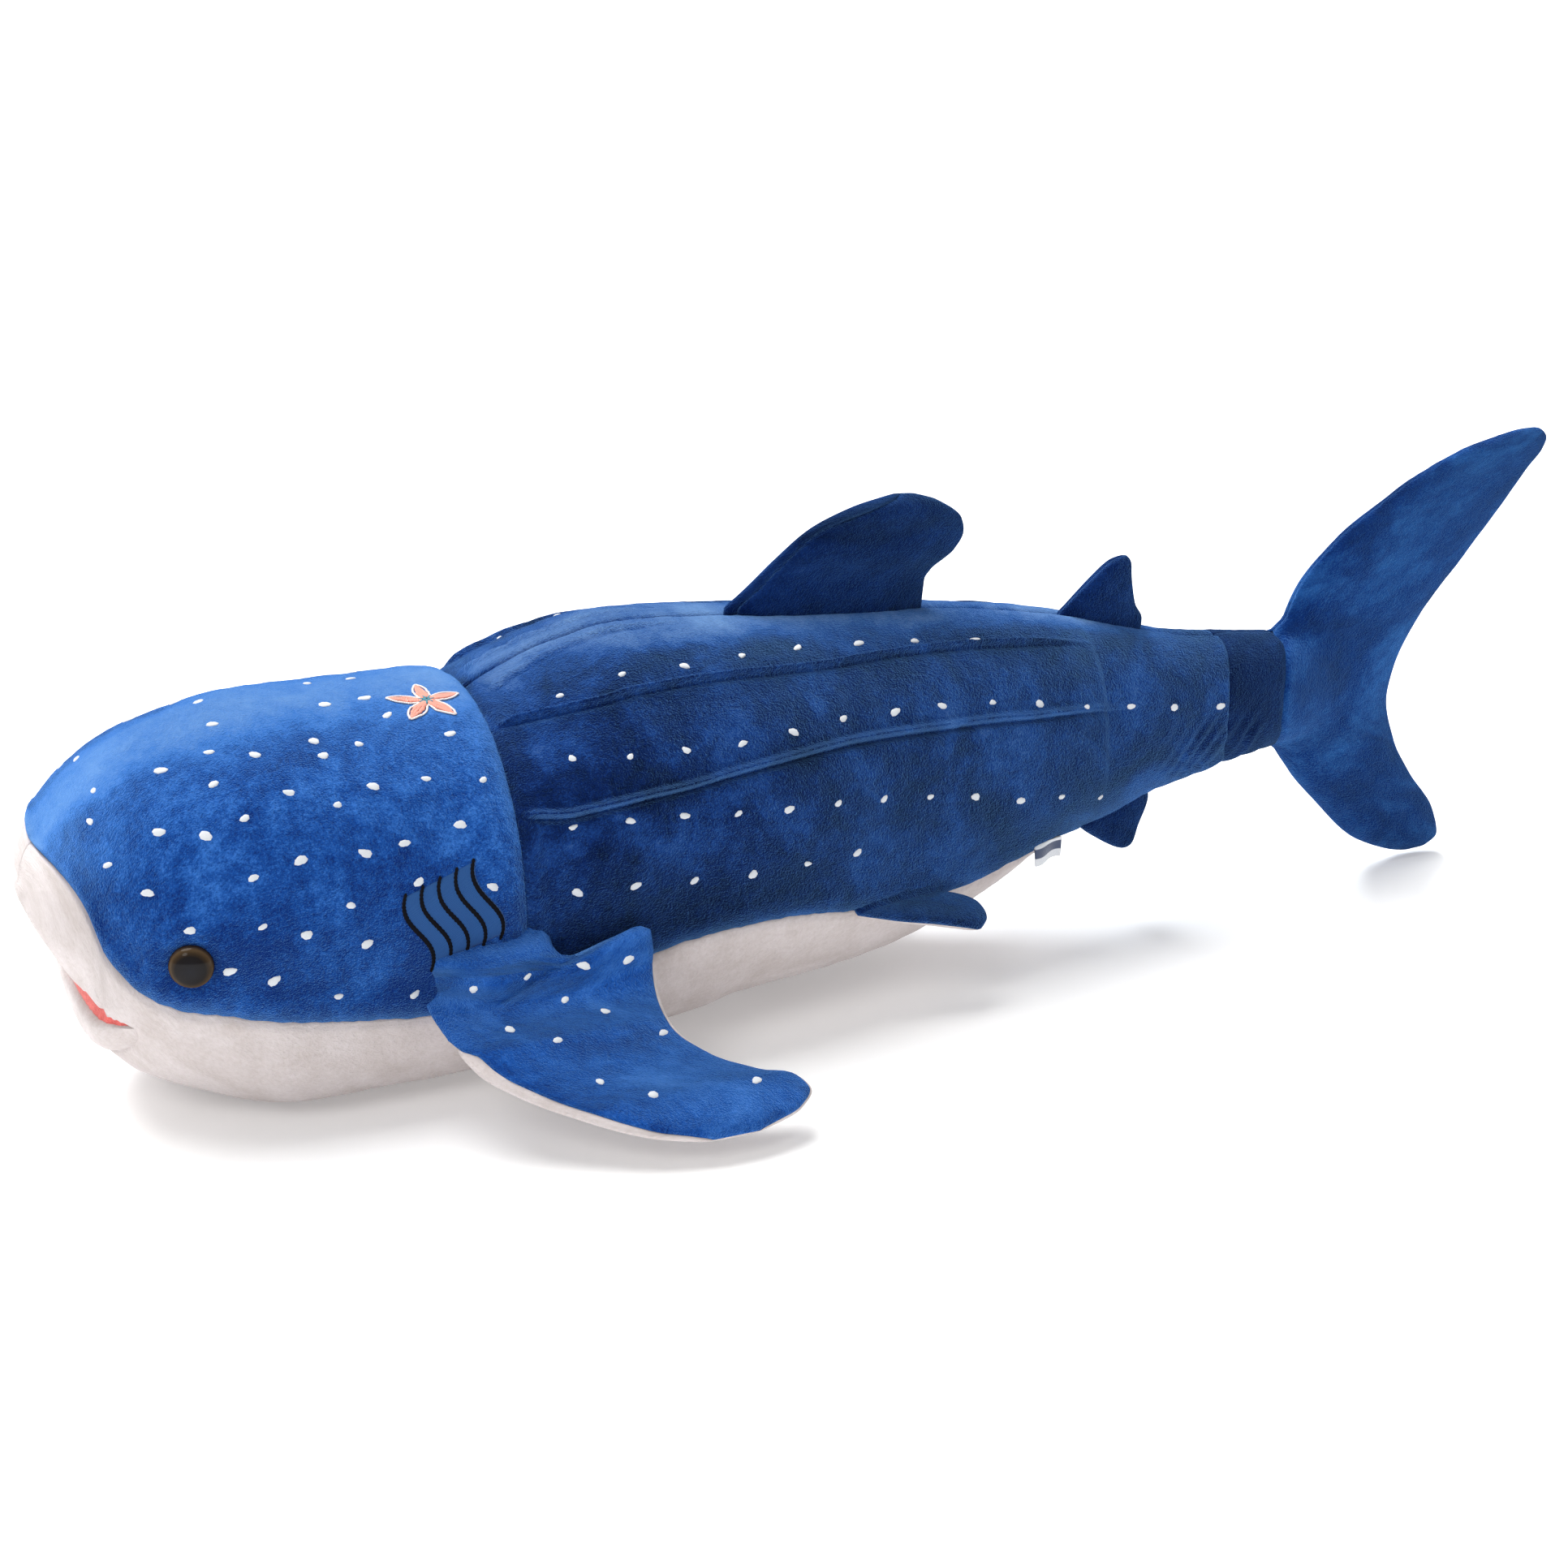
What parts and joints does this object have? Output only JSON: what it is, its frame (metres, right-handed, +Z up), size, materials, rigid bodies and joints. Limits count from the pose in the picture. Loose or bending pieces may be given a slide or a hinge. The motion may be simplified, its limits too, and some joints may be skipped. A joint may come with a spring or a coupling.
{
  "type": "plush shark",
  "caption": "Soft stuffed whale shark toy with bendable tail, folding fins, an opening lower lip and safety eyes.",
  "frame": {"origin": "on the ground under the middle of the toy, halfway between the snout and the tip of the tail", "axes": "+X from snout to tail, +Z up, so the left side of the shark is at -Y"},
  "size_m": [0.8201, 0.3608, 0.2448],
  "materials": {
    "head_pile": "short blue plush pile",
    "back_pile": "short navy plush pile, crushed in patches",
    "belly_pile": "short off-white plush pile",
    "mouth_cloth": "coral brushed cloth",
    "fibre_filling": "loose polyester fibre",
    "gill_thread": "black satin stitch",
    "patch_thread": "coral satin stitch",
    "label_satin": "woven satin tape",
    "eye_plastic": "polished dark brown",
    "washer_plastic": "natural moulded"
  },
  "bodies": {
    "trunk": {"head_panel": "head_pile", "throat_panel": "belly_pile", "mouth_lining": "mouth_cloth", "back_panel_left": "back_pile", "back_panel_right": "back_pile", "belly_panel": "belly_pile", "body_filling": "fibre_filling", "eye_left": "eye_plastic", "eye_right": "eye_plastic", "eye_washer_left": "washer_plastic", "eye_washer_right": "washer_plastic", "gill_embroidery_left": "gill_thread", "gill_embroidery_right": "gill_thread", "head_starfish_patch": "patch_thread"},
    "lower_lip": {"lower_lip_panel": "belly_pile", "lower_lip_filling": "fibre_filling"},
    "tail_stock": {"tail_panel_left": "back_pile", "tail_panel_right": "back_pile", "tail_belly_panel": "belly_pile", "tail_filling": "fibre_filling"},
    "tail_fin": {"tail_fin_left": "head_pile", "tail_fin_right": "head_pile", "tail_fin_filling": "fibre_filling"},
    "dorsal_fin": {"dorsal_fin_left": "back_pile", "dorsal_fin_right": "back_pile", "dorsal_fin_filling": "fibre_filling"},
    "second_dorsal_fin": {"second_dorsal_fin_left": "back_pile", "second_dorsal_fin_right": "back_pile", "second_dorsal_fin_filling": "fibre_filling"},
    "anal_fin": {"anal_fin_left": "back_pile", "anal_fin_right": "back_pile", "anal_fin_filling": "fibre_filling"},
    "pectoral_fin_left": {"pectoral_fin_left_top": "back_pile", "pectoral_fin_left_underside": "belly_pile", "pectoral_fin_left_filling": "fibre_filling"},
    "pectoral_fin_right": {"pectoral_fin_right_top": "back_pile", "pectoral_fin_right_underside": "belly_pile", "pectoral_fin_right_filling": "fibre_filling"},
    "pelvic_fin_left": {"pelvic_fin_left_top": "back_pile", "pelvic_fin_left_underside": "belly_pile", "pelvic_fin_left_filling": "fibre_filling"},
    "pelvic_fin_right": {"pelvic_fin_right_top": "back_pile", "pelvic_fin_right_underside": "belly_pile", "pelvic_fin_right_filling": "fibre_filling"},
    "care_label_flap": {"care_label": "label_satin"}
  },
  "joints": [
    {"name": "tail_sway", "type": "hinge", "parent": "trunk", "child": "tail_stock", "pos_m": [0.09, 0, 0.11], "axis": [0, 0, 1], "range_deg": [-25, 25], "stiffness_Nm_per_rad": 0.4},
    {"name": "tail_fin_sway", "type": "hinge", "parent": "tail_stock", "child": "tail_fin", "pos_m": [0.248, 0, 0.112], "axis": [0, 0, 1], "range_deg": [-25, 25], "stiffness_Nm_per_rad": 0.1},
    {"name": "dorsal_fin_fold", "type": "hinge", "parent": "trunk", "child": "dorsal_fin", "pos_m": [-0.0643, 0, 0.2049], "axis": [0.9952, 0, -0.0976], "range_deg": [-40, 40], "stiffness_Nm_per_rad": 0.03},
    {"name": "second_dorsal_fin_fold", "type": "hinge", "parent": "tail_stock", "child": "second_dorsal_fin", "pos_m": [0.1183, 0, 0.1763], "axis": [0.9677, 0, -0.2521], "range_deg": [-40, 40], "stiffness_Nm_per_rad": 0.004},
    {"name": "anal_fin_fold", "type": "hinge", "parent": "tail_stock", "child": "anal_fin", "pos_m": [0.1324, 0, 0.0502], "axis": [0.9622, 0, 0.2723], "range_deg": [-40, 40], "stiffness_Nm_per_rad": 0.003},
    {"name": "pectoral_fin_left_flap", "type": "hinge", "parent": "trunk", "child": "pectoral_fin_left", "pos_m": [-0.22, -0.09985, 0.0746], "axis": [-1, 0, 0], "range_deg": [-15, 55], "stiffness_Nm_per_rad": 0.05, "springref_deg": 2.06},
    {"name": "pectoral_fin_right_flap", "type": "hinge", "parent": "trunk", "child": "pectoral_fin_right", "pos_m": [-0.22, 0.09985, 0.0746], "axis": [1, 0, 0], "range_deg": [-15, 55], "stiffness_Nm_per_rad": 0.05, "springref_deg": 2.06},
    {"name": "pelvic_fin_left_flap", "type": "hinge", "parent": "trunk", "child": "pelvic_fin_left", "pos_m": [-0.02919, -0.08524, 0.05799], "axis": [-0.9703, -0.2419, 0], "range_deg": [-15, 40], "stiffness_Nm_per_rad": 0.002, "springref_deg": 0.34},
    {"name": "pelvic_fin_right_flap", "type": "hinge", "parent": "trunk", "child": "pelvic_fin_right", "pos_m": [-0.02919, 0.08524, 0.05799], "axis": [0.9703, -0.2419, 0], "range_deg": [-15, 40], "stiffness_Nm_per_rad": 0.002, "springref_deg": 0.34},
    {"name": "lower_lip_open", "type": "hinge", "parent": "trunk", "child": "lower_lip", "pos_m": [-0.353, 0, 0.01], "axis": [0, -1, 0], "range_deg": [0, 15], "stiffness_Nm_per_rad": 0.02, "springref_deg": -2.86},
    {"name": "care_label_flip", "type": "hinge", "parent": "tail_stock", "child": "care_label_flap", "pos_m": [0.093, -0.0466, 0.065], "axis": [-1, 0, 0], "range_deg": [0, 80]}
  ]
}
